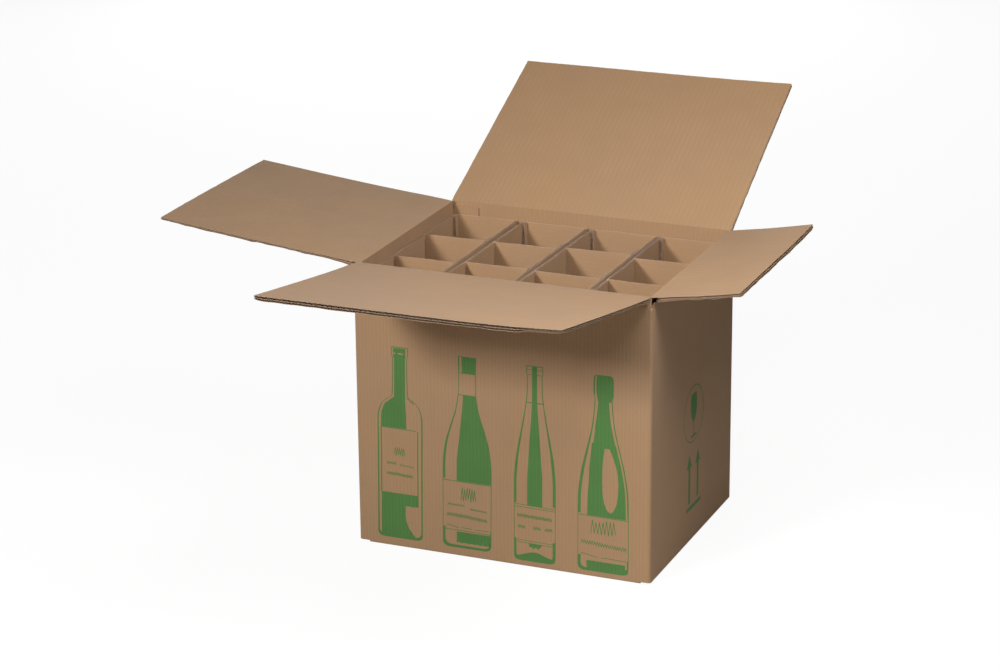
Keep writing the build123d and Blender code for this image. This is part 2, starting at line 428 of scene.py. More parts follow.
class Flap:
    """Where one lid flap hangs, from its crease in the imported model, and how it bends."""

    def __init__(self, side, turn, low, high, offset):
        joint = JOINTS[side + "_flap_crease"]
        self.side, self.turn, self.low, self.high, self.offset = side, radians(turn), low, high, offset
        self.node, self.body = side + "_flap", side + "_lid"
        self.lean = -radians(joint["range_deg"][0]) - pi / 2
        self.hinge = Vector(joint["pos_m"])
        self.spin = np.array(Matrix.Rotation(self.turn, 3, "Z"))
        self.length = getattr(bpy.context.scene.carton_flaps, side)
        self.board = bpy.context.scene.carton_board.thickness
        wide = side in ("front", "back")
        self.taper = 0.004 / high if wide else 0.0
        names = ("Kraft front and back", "Kraft outside") if wide else ("Kraft sides", "Kraft outside sides")
        self.inner_paper, self.outer_paper = (papers()[name] for name in names)

    def turned(self, inward, along):
        """Inward and upward parts of a point that is given as the flap lies."""
        return (inward * cos(self.lean) - along * sin(self.lean),
                inward * sin(self.lean) + along * cos(self.lean))

    def world(self, across, inward, up):
        """World place of a point given from the hinge line."""
        local = np.stack(np.broadcast_arrays(across, inward, up), -1)
        return local @ self.spin.T + np.array(self.hinge)

    def point(self, across, inward, along):
        """World place of a point given across the flap, inward from its outer face, and along it."""
        return self.world(across, *self.turned(np.asarray(inward) - self.offset, np.asarray(along)))

    def polar(self, radius, angle):
        """Inward and upward parts of a point round the hinge line."""
        return radius * cos(angle), radius * sin(angle)

    def span(self, along):
        """Lowest and highest face of the board at this distance from the hinge line."""
        edge_in = min(self.board, self.offset + CREASE_EDGE)
        edge_out = max(0.0, self.offset - CREASE_EDGE)
        run_in = (self.board - edge_in) / math.tan(INNER_BEVEL)
        run_out = edge_out / math.tan(OUTER_BEVEL)
        rise = np.clip(np.asarray(along) - CREASE_GAP, 0, None)
        top = edge_in + (self.board - edge_in) * np.clip(rise / max(run_in, 1e-6), 0, 1)
        low = edge_out * (1 - np.clip(rise / max(run_out, 1e-6), 0, 1))
        return low, top


def flaps():
    half_x = (BODY_HIGH.x - BODY_LOW.x) / 2
    half_y = (BODY_HIGH.y - BODY_LOW.y) / 2
    board = bpy.context.scene.carton_board.thickness
    long_half = half_x - 0.003
    side_half = half_y - board - 0.0015
    return {
        "front": Flap("front", 0, long_half, long_half, board),
        "back": Flap("back", 180, long_half, long_half, board / 2),
        "left": Flap("left", -90, side_half - 0.0032, side_half, 0.0),
        "right": Flap("right", 90, side_half, side_half, 0.0),
    }


def bend_of(flap, across, along):
    """How far the board has warped from flat, towards its inner face."""
    share = along / flap.length
    points = np.stack(np.broadcast_arrays(across, along), -1)
    rise = np.clip((along - 0.013) / 0.05, 0, 1)
    fade = rise ** 2 * (3 - 2 * rise)
    soft = wobble(points, 0.25, 11) * 0.0002
    side = across / flap.high
    right, left = np.clip(side - 0.3, 0, 1) / 0.7, np.clip(-side - 0.3, 0, 1) / 0.7
    if flap.side == "left":
        warp = -0.0013 * np.sin(pi * share) - 0.001 * side ** 2 * share
        # three shallow creases run from the tip to the fold
        for place, depth in ((-0.018, 0.0004), (0.022, 0.0003), (0.058, 0.00025)):
            warp = warp + depth * np.exp(-((across - place - 0.03 * share) / 0.0035) ** 2)
    elif flap.side == "right":
        warp = 0.0018 * right ** 2 * share - 0.0008 * np.sin(pi * share)
    elif flap.side == "front":
        warp = 0.0045 * right ** 2 * share - 0.0012 * np.sin(pi * share)
    else:
        warp = 0.0024 * left ** 2 * share + 0.0005 * np.sin(pi * share) * (1 - side ** 2)
    return (soft + warp) * fade


def crush_of(flap, across, along):
    """Share of the board's thickness that is left, after knocks on its edges."""
    left = np.ones(np.broadcast(across, along).shape)
    from_tip = flap.length - along
    if flap.side == "front":
        knocked = np.clip((across - 0.158) / 0.006, 0, 1)
        left = left - 0.5 * knocked * np.exp(-(from_tip / 0.006) ** 2)
    points = np.stack(np.broadcast_arrays(across, along), -1)
    rim = np.exp(-(np.minimum(from_tip, np.minimum(across + flap.low, flap.high - across)) / 0.003) ** 2)
    ends = np.minimum(across + flap.low, flap.high - across)
    pinch = PINCH[flap.side] * np.exp(-(ends / 0.007) ** 2) * np.clip((along - 0.012) / 0.03, 0, 1)
    pinch = pinch * (1 + 0.25 * wobble(points, 0.02, 6))
    return left - 0.06 * rim * (1 + wobble(points, 0.03, 5)) - pinch


def on_flap(flap, across, inward, along):
    """World place of a point of the board, with its root creased and its faces warped."""
    across = across * (1 - flap.taper * along / flap.length)
    low, top = flap.span(along)
    thin = low + (inward / flap.board) * (top - low)
    crush = crush_of(flap, across, along)
    thin = top - (top - thin) * crush
    return flap.point(across, thin + bend_of(flap, across, along), along)


def flap_piece(flap):
    board = bpy.context.scene.carton_board
    materials = [flap.inner_paper, flap.outer_paper, papers()["Cut liner"], papers()["Medium"]]
    root = CREASE_GAP + np.array([0, 0.0015, 0.003, 0.005, 0.0075, 0.010, 0.0125])
    tip = flap.length - np.array([0.009, 0.006, 0.004, 0.002, 0.0])
    along = np.concatenate([root, np.linspace(0.02, flap.length - 0.016, 24), tip])
    width = flap.high + flap.low
    edge = np.array([0.0, 0.0015, 0.004])
    middle = np.linspace(0.008, width - 0.008, 2 * round(width / 0.0065))
    across = np.concatenate([edge, middle, width - edge[::-1]]) - flap.low
    grid_a, grid_s = np.meshgrid(across, along, indexing="ij")
    # cut edges are never quite straight
    rough = wobble(np.stack([grid_a, grid_s], -1), 0.012, 3) * 0.00022
    at_edge = (grid_a == across[0]) | (grid_a == across[-1])
    grid_a = grid_a + rough * at_edge
    grid_s = grid_s + rough * (grid_s == along[-1])
    shells = Shells()
    liner, split, whole = board.liner, board.split, board.thickness
    for low, high, mark in ((0.0, liner, 1), (split, split + liner, 2), (whole - liner, whole, 0)):
        shells.slab(on_flap(flap, grid_a, high, grid_s), on_flap(flap, grid_a, low, grid_s), mark, 2)
    for low, high, pitch, phase in (
        (liner, split, board.outer_pitch, 0.4), (split + liner, whole - liner, board.inner_pitch, 1.9),
    ):
        rows = along[[0, 2, 4, 6, 10, 14, 18, 22, 26, 30, 32, 34, 35]]
        points, faces = wavy_sheet(width - 0.0006, pitch, high - low, board.medium, len(rows), phase)
        u = points[:, 0] - flap.low + 0.0003
        s = rows[points[:, 1].astype(int)]
        s = s - 0.0004 * (points[:, 1] == len(rows) - 1)
        world = on_flap(flap, u, (low + high) / 2 + points[:, 2], s)
        shells.add(world, faces, [3] * len(faces), [True] * len(faces))
    piece = shells.piece(flap.side + "_flap_board", materials)
    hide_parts(flap.node)
    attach(piece, flap.body)


# ---- the liners that run over each crease ----

def crease_piece(flap, inside):
    """One liner across the crease, bent round it as the flap lies."""
    skin, lift, tail = 0.0003, 0.00006, 0.0095
    if inside:
        radius = max(flap.board - flap.offset, 0.0004)
        line = [(radius, -d) for d in np.linspace(tail, 0.0, 5)]
        for t in np.linspace(0, flap.lean, 15)[1:-1]:
            corner = 1 / cos(min(t, flap.lean - t)) - 1
            line.append(flap.polar(radius * (1 + FOLD_SHARPNESS * corner), t))
        line += [flap.turned(radius, d) for d in np.linspace(0.0, tail, 5)]
    else:
        run = max(flap.offset, 0.0) / math.tan(OUTER_BEVEL)
        steps = np.concatenate([[run + 0.004], np.linspace(run + CREASE_GAP, 0.0009, 6)])
        face = [float(flap.span(d)[0]) - flap.offset for d in steps]
        wall = [(n, -d) for n, d in zip(face, steps)]
        lid = [flap.turned(n, d) for n, d in zip(face, steps)][::-1]
        near = [] if flap.offset == 0 else [flap.polar(0.0005, radians(244))]
        line = wall + near + lid
    line = np.array(line)
    step = np.gradient(line, axis=0)
    normal = np.stack([step[:, 1], -step[:, 0]], -1)
    normal /= np.linalg.norm(normal, axis=1)[:, None]
    if not inside:
        normal = -normal
    outer, inner = line + normal * lift, line - normal * (skin - lift)
    across = np.linspace(-flap.low + 0.0004, flap.high - 0.0004, 90)

    shells = Shells()
    shells.slab(flap.world(across[:, None], *outer.T), flap.world(across[:, None], *inner.T), 0, 1)
    piece = shells.piece(flap.side + ("_inner_crease" if inside else "_outer_crease"),
                         [flap.inner_paper if inside else flap.outer_paper, papers()["Cut liner"]])
    # a direction across the crease, from the wall to the flap, is worked out here but not used
    turn = flap.lean / 2 + pi / 2
    reach = max(0.0012, (flap.board - flap.offset) * sin(flap.lean / 2)) if inside else 0.0012
    way = np.array([0.0, cos(turn), sin(turn)]) * reach
    way = flap.spin @ way
    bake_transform(piece)


# ---- dividers ----

def rounded_path(corners, radius, steps=3, spacing=0.012):
    """Points along a path with rounded corners."""
    points = [np.array(corners[0], float)]
    for k in range(1, len(corners)):
        a, b = np.array(corners[k - 1], float), np.array(corners[k], float)
        way = (b - a) / np.linalg.norm(b - a)
        stop = b
        if k < len(corners) - 1:
            c = np.array(corners[k + 1], float)
            after = (c - b) / np.linalg.norm(c - b)
            stop = b - way * radius
        start = points[-1]
        count = max(1, round(np.linalg.norm(stop - start) / spacing))
        points += [start + (stop - start) * t for t in np.linspace(0, 1, count + 1)[1:]]
        if k < len(corners) - 1:
            leave = b + after * radius
            for t in np.linspace(0, 1, steps + 1)[1:]:
                points.append(stop * (1 - t) ** 2 + b * 2 * t * (1 - t) + leave * t * t)
    return np.array(points)


def path_normals(path):
    step = np.gradient(path, axis=0)
    normal = np.stack([-step[:, 1], step[:, 0]], -1)
    return normal / np.linalg.norm(normal, axis=1)[:, None]


DIVIDER_EDGES = (  # left and right wall at the back, then at the front, as seen from above
    (-0.2082, -0.1100, -0.2090, -0.1124),
    (-0.1000, -0.0012, -0.1062, -0.0068),
    (0.0052, 0.1060, -0.0012, 0.1022),
    (0.1098, 0.2080, 0.1082, 0.2086),
)
CELL_HALF = 0.051      # half the width of each divider's row of cells
FOLD_RADIUS = 0.0016
HOLE_MARGIN = 0.006    # paper left above and below each opening
DIVIDER_MEDIUM = 0.0003
CROSS_PLACES = ((-0.0570, 0.0490), (-0.0480, 0.0510), (-0.0520, 0.0610), (-0.0530, 0.0500))


def divider_piece(column):
    sizes = bpy.context.scene.carton_dividers
    low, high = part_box("divider_%d" % (column + 1))
    half, liner, pitch = sizes.thickness / 2, sizes.liner, sizes.pitch
    back, front = high.y - half, low.y + half
    left_b, right_b, left_f, right_f = DIVIDER_EDGES[column]
    seed = 40 + column
    shells = Shells()

    def walled(local_x, y):
        """Real place of a point, with the column's sides a little out of square and bowed."""
        share = (y - front) / (back - front)
        left = left_f + (left_b - left_f) * share
        right = right_f + (right_b - right_f) * share
        across = (local_x + CELL_HALF) / (2 * CELL_HALF)
        x = left + (right - left) * across
        bow = 0.0011 * np.sin(pi * share * 3) * (across - 0.5)
        return x + bow, y

    def add_sheet(path, base, top, holes=(), phase=0.0):
        """A single-wall sheet that stands on this path, with openings given by path distance."""
        normal = path_normals(path)
        walk = np.concatenate([[0], np.cumsum(np.linalg.norm(np.diff(path, axis=0), axis=1))])
        ups = np.concatenate([[0, 0.003, 0.006], np.linspace(0.02, top - base - 0.02, 8),
                              top - base - np.array([0.012, 0.006, 0.003, 0.0])])
        walk_lines = sorted(set(np.round(walk, 7)) | {round(v, 7) for hole in holes for v in hole[:2]})
        walk_lines = np.array(walk_lines)
        px, py = np.interp(walk_lines, walk, path[:, 0]), np.interp(walk_lines, walk, path[:, 1])
        nx, ny = np.interp(walk_lines, walk, normal[:, 0]), np.interp(walk_lines, walk, normal[:, 1])
        mask = np.ones((len(walk_lines) - 1, len(ups) - 1), bool)
        centre = (walk_lines[1:] + walk_lines[:-1]) / 2
        tall = (ups[1:] + ups[:-1]) / 2
        for a, b in holes:
            inner = (tall > HOLE_MARGIN) & (tall < top - base - HOLE_MARGIN)
            mask[np.ix_((centre > a) & (centre < b), inner)] = False

        def surface(offset, where=None):
            w = walk_lines if where is None else where
            qx = np.interp(w, walk_lines, px) + np.interp(w, walk_lines, nx) * offset
            qy = np.interp(w, walk_lines, py) + np.interp(w, walk_lines, ny) * offset
            return qx, qy

        def place(qx, qy, z):
            x, y = walled(qx, qy)
            points = np.stack(np.broadcast_arrays(x, y, z), -1)
            grow = (z - base) / (top - base)
            points[..., 2] += 0.0005 * wobble(points[..., :2], 0.045, seed) * grow ** 8
            return points

        zs = base + ups
        for inner, outer in ((half - liner, half), (-half, -half + liner)):
            grids = []
            for offset in (outer, inner):
                qx, qy = surface(offset)
                grids.append(place(qx[:, None], qy[:, None], zs[None, :] + 0 * qx[:, None]))
            shells.slab(grids[0], grids[1], 0, 1, mask)
        spans, at = [], 0.0
        for a, b in sorted(holes):
            spans.append((at, a))
            at = b
        spans.append((at, walk_lines[-1]))
        for a, b in spans:
            inside = walk_lines[(walk_lines > a + 1e-6) & (walk_lines < b - 1e-6)]
            rows = np.concatenate([[a], inside, [b]])
            points, faces = wavy_sheet(
                top - base - 0.001, pitch, 2 * (half - liner), DIVIDER_MEDIUM, len(rows), phase, steps=5)
            w = rows[points[:, 1].astype(int)]
            qx, qy = surface(points[:, 2], w)
            world = place(qx, qy, base + 0.0005 + points[:, 0])
            shells.add(world, faces, [2] * len(faces), [True] * len(faces))

    lip_x = -CELL_HALF + 0.003 + 0.0012 + half
    corners = [
        (lip_x, back + half - 0.012), (lip_x, back), (CELL_HALF - half, back),
        (CELL_HALF - half, front), (-CELL_HALF + half, front), (-CELL_HALF + half, back + half),
    ]
    path = rounded_path(corners, FOLD_RADIUS)
    total = np.concatenate([[0], np.cumsum(np.linalg.norm(np.diff(path, axis=0), axis=1))])[-1]
    holes = []
    for centre_y in CROSS_PLACES[column]:
        from_end = back + half - centre_y
        holes.append((total - from_end - 0.0037, total - from_end + 0.0018))
    add_sheet(path, low.z, high.z, holes=sorted(holes), phase=0.9)
    for k, centre_y in enumerate(CROSS_PLACES[column]):
        foot = CELL_HALF - 2 * half - half
        panel = rounded_path([(-CELL_HALF + 2 * half - 0.0022, centre_y), (foot, centre_y),
                              (foot, centre_y + 0.026)], FOLD_RADIUS, spacing=0.02)
        bow = 0.0012 * np.sin(np.linspace(0, pi, len(panel))) * (1 if k else -1)
        panel[:, 1] += bow * (panel[:, 1] < centre_y + 0.001)
        add_sheet(panel, low.z, high.z, phase=2.1 + k)
    kind = papers()
    piece = shells.piece("divider_%d_board" % (column + 1),
                         [kind["Kraft divider"], kind["Cut divider"], kind["Medium"]])
    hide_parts("divider_%d" % (column + 1))
    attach(piece, "carton")


# ---- print ----

def ink_material():
    """Thin water-based ink: the paper's fibres and waves show through it."""
    found = bpy.data.materials.get("Green ink")
    if found:
        return found
    ink = tuple(bpy.context.scene.carton_print.ink)
    return kraft("Green ink", ink, bpy.context.scene.carton_board.outer_pitch, (1, 0.9, 0), (0, 0, 1),
                 waves=1.6, clouds=0.16, fibres=0.3, bump=0.00012)


INK_LAYERS = 12        # shapes that overlap lie at slightly different heights
INK_STEP = 0.000004


class Print:
    """Flat shapes of ink on one wall, each a thin closed plate. Places are in millimetres on the wall."""

    def __init__(self, to_world, outwards):
        self.to_world, self.outwards = to_world, np.array(outwards, float)
        self.shells = Shells()
        self.layer = 0

    def shape(self, loops):
        """A plate with this outline, and holes for the loops after it."""
        self.layer = (self.layer + 1) % INK_LAYERS
        film = bpy.context.scene.carton_print.film + self.layer * INK_STEP
        flat = [[Vector((x, y, 0)) for x, y in loop] for loop in loops]
        triangles = tessellate_polygon(flat)
        points = np.array([self.to_world(x * MM, y * MM) for loop in loops for x, y in loop])
        count = len(points)
        verts = np.concatenate([points + self.outwards * film, points - self.outwards * film])
        faces = []
        for a, b, c in triangles:
            edge_1, edge_2 = points[b] - points[a], points[c] - points[a]
            if np.dot(np.cross(edge_1, edge_2), self.outwards) < 0:
                a, b, c = c, b, a
            faces += [(a, b, c), (c + count, b + count, a + count)]
        first = 0
        for k, loop in enumerate(loops):
            size = len(loop)
            area = sum(loop[i][0] * loop[(i + 1) % size][1] - loop[(i + 1) % size][0] * loop[i][1]
                       for i in range(size))
            right_way = (area > 0) == (k == 0)
            if np.dot(np.cross(self.to_world(1, 0) - self.to_world(0, 0),
                               self.to_world(0, 1) - self.to_world(0, 0)), self.outwards) < 0:
                right_way = not right_way
            for i in range(size):
                a, b = first + i, first + (i + 1) % size
                side = (b, a, a + count, b + count)
                faces.append(side if right_way else side[::-1])
            first += size
        self.shells.add(verts, faces, [0] * len(faces), [False] * len(faces))

    def stroke(self, points, width):
        """A pen line; width is one number, or one for each point."""
        points = np.array(points, float)
        widths = np.broadcast_to(np.asarray(width, float), len(points))
        step = np.gradient(points, axis=0)
        size = np.maximum(np.linalg.norm(step, axis=1), 1e-9)
        normal = np.stack([-step[:, 1], step[:, 0]], -1) / size[:, None]
        left = points + normal * widths[:, None] / 2
        right = points - normal * widths[:, None] / 2
        for i in range(len(points) - 1):
            self.shape([[tuple(left[i]), tuple(left[i + 1]), tuple(right[i + 1]), tuple(right[i])]])

    def piece(self, name):
        made = self.shells.piece(name, [ink_material()])
        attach(made, "carton")
        return made


def smooth_line(knots, steps=6):
    """A smooth curve through these points."""
    knots = np.array(knots, float)
    padded = np.concatenate([2 * knots[:1] - knots[1:2], knots, 2 * knots[-1:] - knots[-2:-1]])
    out = []
    for i in range(1, len(padded) - 2):
        p0, p1, p2, p3 = padded[i - 1:i + 3]
        for t in np.linspace(0, 1, steps, endpoint=False):
            out.append(0.5 * (2 * p1 + (p2 - p0) * t + (2 * p0 - 5 * p1 + 4 * p2 - p3) * t * t
                              + (3 * p1 - p0 - 3 * p2 + p3) * t ** 3))
    out.append(knots[-1])
    return np.array(out)


class Bottle:
    """A plain bottle shape: half widths at heights from the base, about an upright middle line."""

    def __init__(self, art, middle, base, stretch, lean, knots):
        self.art, self.middle, self.base, self.stretch, self.lean = art, middle, base, stretch, lean
        curve = smooth_line(knots)
        self.half, self.height = curve[:, 0], curve[:, 1]
        self.top = self.height[-1]

    def side(self, height, inset=0.0):
        """Half width at this height, less the inset."""
        rising = np.maximum.accumulate(self.height)
        return np.interp(height, rising + np.arange(len(rising)) * 1e-6, self.half) - inset

    def at(self, x, height):
        """Place on the wall of a point of the bottle."""
        return (self.middle + x + self.lean * (height / self.top - 0.5), self.base + height * self.stretch)

    def outline(self, left, right, base, top, label=None):
        """A closed pen line round the bottle; beside the label it is thin."""
        heights = np.unique(np.concatenate([self.height[self.height > 0], np.linspace(0, self.top, 40)]))
        if label:
            heights = np.sort(np.concatenate([heights, [label[0], label[0] + 0.1, label[1], label[1] + 0.1]]))

        def pen(size, h):
            if label and label[0] + 0.05 < h < label[1] + 0.05:
                return 0.9
            return size if h < self.top * 0.5 else size + (top - size) * min(1, (h / self.top - 0.5) / 0.3)

        outer = [self.at(-self.side(h), h) for h in heights]
        outer += [self.at(self.side(h), h) for h in heights[::-1]]
        raised = lambda h: base + h * (self.top - base - top) / self.top
        inner = [self.at(-self.side(h, pen(left, h)), raised(h)) for h in heights]
        inner += [self.at(self.side(h, pen(right, h)), raised(h)) for h in heights[::-1]]
        self.art.shape([outer, inner])

    def field(self, low, high, left, right, holes=(), wave=0.0):
        """A filled area between two heights; left and right give x for each height."""
        heights = np.linspace(low, high, 26)
        edge = [self.at(left(h), h) for h in heights] + [self.at(right(h), h) for h in heights[::-1]]
        if wave:
            edge += [self.at(x, low + wave * sin(x * 0.9))
                     for x in np.linspace(right(low), left(low), 14)[1:-1]]
        self.art.shape([edge, *holes])

    def bar(self, height, width, left=None, right=None, tilt=0.0):
        """A pen line across the bottle."""
        left = -self.side(height) if left is None else left
        right = self.side(height) if right is None else right
        xs = np.linspace(left, right, 9)
        line = [self.at(x, height + tilt * (x - left) / (right - left)) for x in xs]
        self.art.stroke(line, width)

    def zigzag(self, height, left, right, count, reach, width=0.8, seed=1, tilt=0.0):
        """A scribbled pen line that stands in for label print."""
        rng = np.random.default_rng(seed)
        xs = np.linspace(left, right, 2 * count + 1)
        line = []
        for i, x in enumerate(xs):
            swing = reach * (0.65 + 0.35 * rng.random()) * (1 if i % 2 else -1) / 2
            line.append(self.at(x, height + swing + tilt * (x - left)))
        for a, b in zip(line, line[1:]):
            self.art.stroke([a, b], width)


def front_print():
    """Four plain bottles side by side on the front wall."""
    art = [Print(lambda x, z: np.array([x, BODY_LOW.y, z]), (0, -1, 0)) for _ in range(4)]

    # a broad-shouldered bottle
    b = Bottle(art[0], -151.5, 13.0, 0.983, 4.5, [
        (25, 0), (30, 1.2), (33.4, 5), (34, 13), (34, 60), (34, 120), (34, 174), (33, 188), (28.5, 201),
        (20, 210), (13.4, 214.5), (12, 221), (11.6, 234), (11.2, 252), (11.2, 272), (12.4, 274.5),
        (12.4, 288)])
    side = b.side
    b.outline(2.2, 2.2, 4.2, 1.2)
    b.field(215, 272, lambda h: -8.6, lambda h: 7.8)
    b.field(272, 277, lambda h: -9.8, lambda h: 9.0)
    b.field(279, 286, lambda h: -9.8, lambda h: 8.6)
    b.art.stroke([b.at(-5, 277), b.at(-4, 279)], 4.4)
    b.art.stroke([b.at(6, 277), b.at(7, 279)], 3.4)
    b.field(167, 215.5, lambda h: -side(h, 5.2) if h < 204 else -max(8.6, side(h, 6.4)),
            lambda h: 7.8 + 1.6 * min(1, (215 - h) / 30) ** 2)
    b.art.stroke([b.at(10.4, 214), b.at(14.0, 211.5), b.at(20.5, 205.5)], 1.6)
    b.field(50.5, 68.5, lambda h: -side(h, 5.6), lambda h: side(h, 6.6), wave=0.5)
    b.field(4.0, 51, lambda h: -side(h, 5.4), lambda h: 8.0 + max(0, 36 - h) ** 2.0 * 0.015)
    b.bar(166.5, 1.0, -28.4, 24, tilt=-0.6)
    b.art.stroke([b.at(26.8, 165), b.at(26.6, 120), b.at(26.8, 52)], 1.5)
    b.art.stroke([b.at(-28.6, 167), b.at(-28.4, 120), b.at(-28.6, 68)], 1.5)
    b.zigzag(132, -9, 7, 5, 15, 0.8, 3)
    b.zigzag(113.5, -20, -6, 5, 4.4, 0.8, 4)
    b.zigzag(112, 0, 20, 7, 2.8, 0.7, 5, tilt=-0.08)
    b.zigzag(98, -20, 19, 15, 5.4, 0.9, 6, tilt=-0.05)

    # a sloping-shouldered bottle
    b = Bottle(art[1], -51.0, 12.5, 0.979, 3.6, [
        (27, 0), (32, 1.4), (35.8, 6), (36.4, 16), (36.4, 60), (36.4, 104), (36.0, 130), (32.6, 157),
        (25.0, 184), (18, 206), (14.2, 226), (13.2, 240), (13.0, 262), (13.4, 288)])
    side = b.side
    b.outline(3.8, 1.6, 4.0, 1.0, label=(27, 101))
    b.field(264, 287, lambda h: -side(h, 5.2), lambda h: side(h, 0.9))
    b.field(266, 287, lambda h: -side(h, 0.9), lambda h: -side(h, 2.0))
    b.bar(263.5, 1.2)
    b.bar(231, 1.3)
    b.field(101.5, 231, lambda h: -6.0 - 9.5 * min(1, max(0, (228 - h) / 95)) ** 1.2,
            lambda h: side(h, 1.2))
    b.bar(101, 1.0, tilt=-0.6)
    b.bar(27, 0.9, tilt=-0.8)
    b.field(8, 24.6, lambda h: -15.5, lambda h: side(h, 1.4), wave=0.8)
    b.zigzag(82, -9, 13, 6, 22, 1.0, 7)
    b.zigzag(65, -29, -4, 8, 3.6, 0.8, 8)
    b.zigzag(61, 4, 29, 9, 3.0, 0.8, 9, tilt=-0.06)
    b.zigzag(50, -30, 30, 20, 6.4, 0.9, 10, tilt=-0.06)
    b.bar(34, 0.9, -30, -12, tilt=-3.6)
    b.bar(31.4, 0.9, -8, 8, tilt=-0.6)
    b.bar(30.5, 0.9, 12, 33, tilt=0.4)

    # a slim bottle
    b = Bottle(art[2], 49.0, 8.5, 0.981, 1.6, [
        (23, 0), (27.5, 1.4), (30.2, 5), (30.8, 14), (30.8, 60), (30.8, 96), (30.4, 126), (27.5, 155),
        (22.5, 184), (17.2, 212), (13.2, 236), (11.6, 252), (11.4, 276), (12.2, 279), (12.2, 291)])
    side = b.side
    b.outline(3.8, 4.4, 3.4, 1.2, label=(30, 84))
    b.bar(278, 0.9)
    b.bar(285, 0.8)
    b.bar(237, 1.5)
    b.field(84, 290.5, lambda h: -3.9 - 7.2 * min(1, max(0, (236 - h) / 110)),
            lambda h: 3.5 + 7.6 * min(1, max(0, (236 - h) / 110)))
    for height, lean in ((84.4, -1.4), (80.8, -1.0), (31, -1.2), (27.6, -1.2)):
        b.bar(height, 0.8, tilt=lean)
    b.zigzag(68, -26, 25, 18, 6.2, 0.9, 11, tilt=-0.03)
    for k, start in enumerate((-25, -2, 15)):
        b.zigzag(51, start, start + 11, 4, 5.6, 0.9, 12 + k)
    b.field(20.5, 27, lambda h: -9.0 + (27 - h) * 0.3, lambda h: 12.0 - (27 - h) * 0.9, wave=1.6)
    floor = [b.at(x, 2.0) for x in np.linspace(-26, 26, 12)]
    hump = [b.at(x, 7.4 + 7.0 * cos(x / 27 * pi / 2) ** 2) for x in np.linspace(26.8, -26.8, 16)]
    b.art.shape([floor + hump])

    # a bottle for sparkling wine
    b = Bottle(art[3], 148.5, 8.5, 0.983, 0.5, [
        (29, 0), (34, 1.6), (36.6, 6), (37, 16), (37, 60), (36.8, 96), (35.6, 122), (31.2, 152),
        (23.6, 184), (17.6, 210), (14.4, 232), (13.0, 250), (12.8, 256), (14.2, 262), (14.2, 284),
        (11.5, 290)])
    side = b.side
    rise = np.array([0, 0.02, 0.06, 0.14, 0.28, 0.45, 0.6, 0.75, 0.88, 0.97, 1.0])
    half = np.array([0, 3.4, 6.0, 8.8, 11.0, 11.8, 11.2, 9.4, 6.6, 4.4, 3.6])
    centre = 10.2 - 4.6 * np.clip((rise - 0.5) / 0.5, 0, 1) ** 1.4
    oval = [b.at(c + w, 90 + 94 * u) for c, w, u in zip(centre, half, rise)]
    oval += [b.at(c - w, 90 + 94 * u) for c, w, u in zip(centre[:0:-1], half[:0:-1], rise[:0:-1])]
    b.outline(4.4, 2.2, 4.0, 1.4, label=(19, 82.5))
    b.field(252, 288.6, lambda h: -side(h, 4.2), lambda h: side(h, 1.0))
    b.field(262, 286, lambda h: -side(h, 1.0), lambda h: -side(h, 2.4))
    b.field(190, 252.5, lambda h: -side(h, np.interp(h, (190, 215, 252), (7.8, 4.8, 5.4))),
            lambda h: side(h, 5.0))
    b.field(83, 190.5, lambda h: -side(h, np.interp(h, (82, 132, 168, 190), (13.8, 13.8, 8.8, 5.8))),
            lambda h: side(h, 4.2), holes=[oval])
    b.bar(82.5, 1.0, tilt=-0.6)
    b.field(4.0, 15.4, lambda h: -24.0, lambda h: side(h, 4.6) if h > 9 else side(h, 1.8))
    b.zigzag(66, -18, 18, 7, 23, 1.0, 15)
    b.zigzag(43, -32, 34, 18, 7.0, 0.9, 16, tilt=-0.07)
    b.bar(25.5, 0.9, -32, -8, tilt=-4.0)
    b.bar(22.0, 0.9, -2, 34, tilt=-1.0)
    for number, made in enumerate(art):
        made.piece("printed_bottle_%d" % (number + 1))


def side_print():
    """Handling marks: a glass in a ring, and two upright arrows over a bar."""
    right = BODY_HIGH.x
    make = lambda: Print(lambda y, z: np.array([right, y, z]), (1, 0, 0))
    glass = make()
    turns = np.linspace(0, 2 * pi, 48, endpoint=False)
    ring = lambda r: [(3 + r * cos(t), 189 + r * sin(t)) for t in turns]
    glass.shape([ring(41.5), ring(40.2)])
    bowl = smooth_line([(2.6, 176), (9, 181), (14.5, 192), (15.6, 205), (13.5, 219)])
    left = [(6 - x, z) for x, z in bowl[::-1]]
    glass.shape([[*map(tuple, bowl), *left]])
    glass.shape([[(1.7, 158), (4.3, 158), (4.0, 177), (2.0, 177)]])
    glass.shape([[(-9, 155), (15, 155), (13, 158.4), (-7, 158.4)]])
    glass.piece("printed_glass")
    arrows = make()
    for middle, tip in ((-13, 133), (22, 131)):
        half = [(3.6, 60), (3.6, tip - 20), (10, tip - 20)]
        arrows.shape([[*((middle + x, z) for x, z in half), (middle, tip),
                       *((middle - x, z) for x, z in half[::-1])]])
    arrows.shape([[(-24, 49), (36, 49), (36, 54.5), (-24, 54.5)]])
    arrows.piece("printed_arrows")


# ---- operators ----

class MESH_OT_carton_walls(bpy.types.Operator):
    """Gives the folded walls and bottom their paper finish"""
    bl_idname = "mesh.carton_walls"
    bl_label = "Carton walls"

    def execute(self, context):
        kind = papers()
        walls = frame["nodes"]["carton_body"]
        walls.data.materials.clear()
        walls.data.materials.append(kind["Kraft walls"])
        return {"FINISHED"}


class MESH_OT_carton_flaps(bpy.types.Operator):
    """Builds the four lid flaps of double-wall board, with the liners over their creases"""
    bl_idname = "mesh.carton_flaps"
    bl_label = "Lid flaps"

    def execute(self, context):
        for flap in flaps().values():
            flap_piece(flap)
            crease_piece(flap, True)
            crease_piece(flap, False)
        return {"FINISHED"}


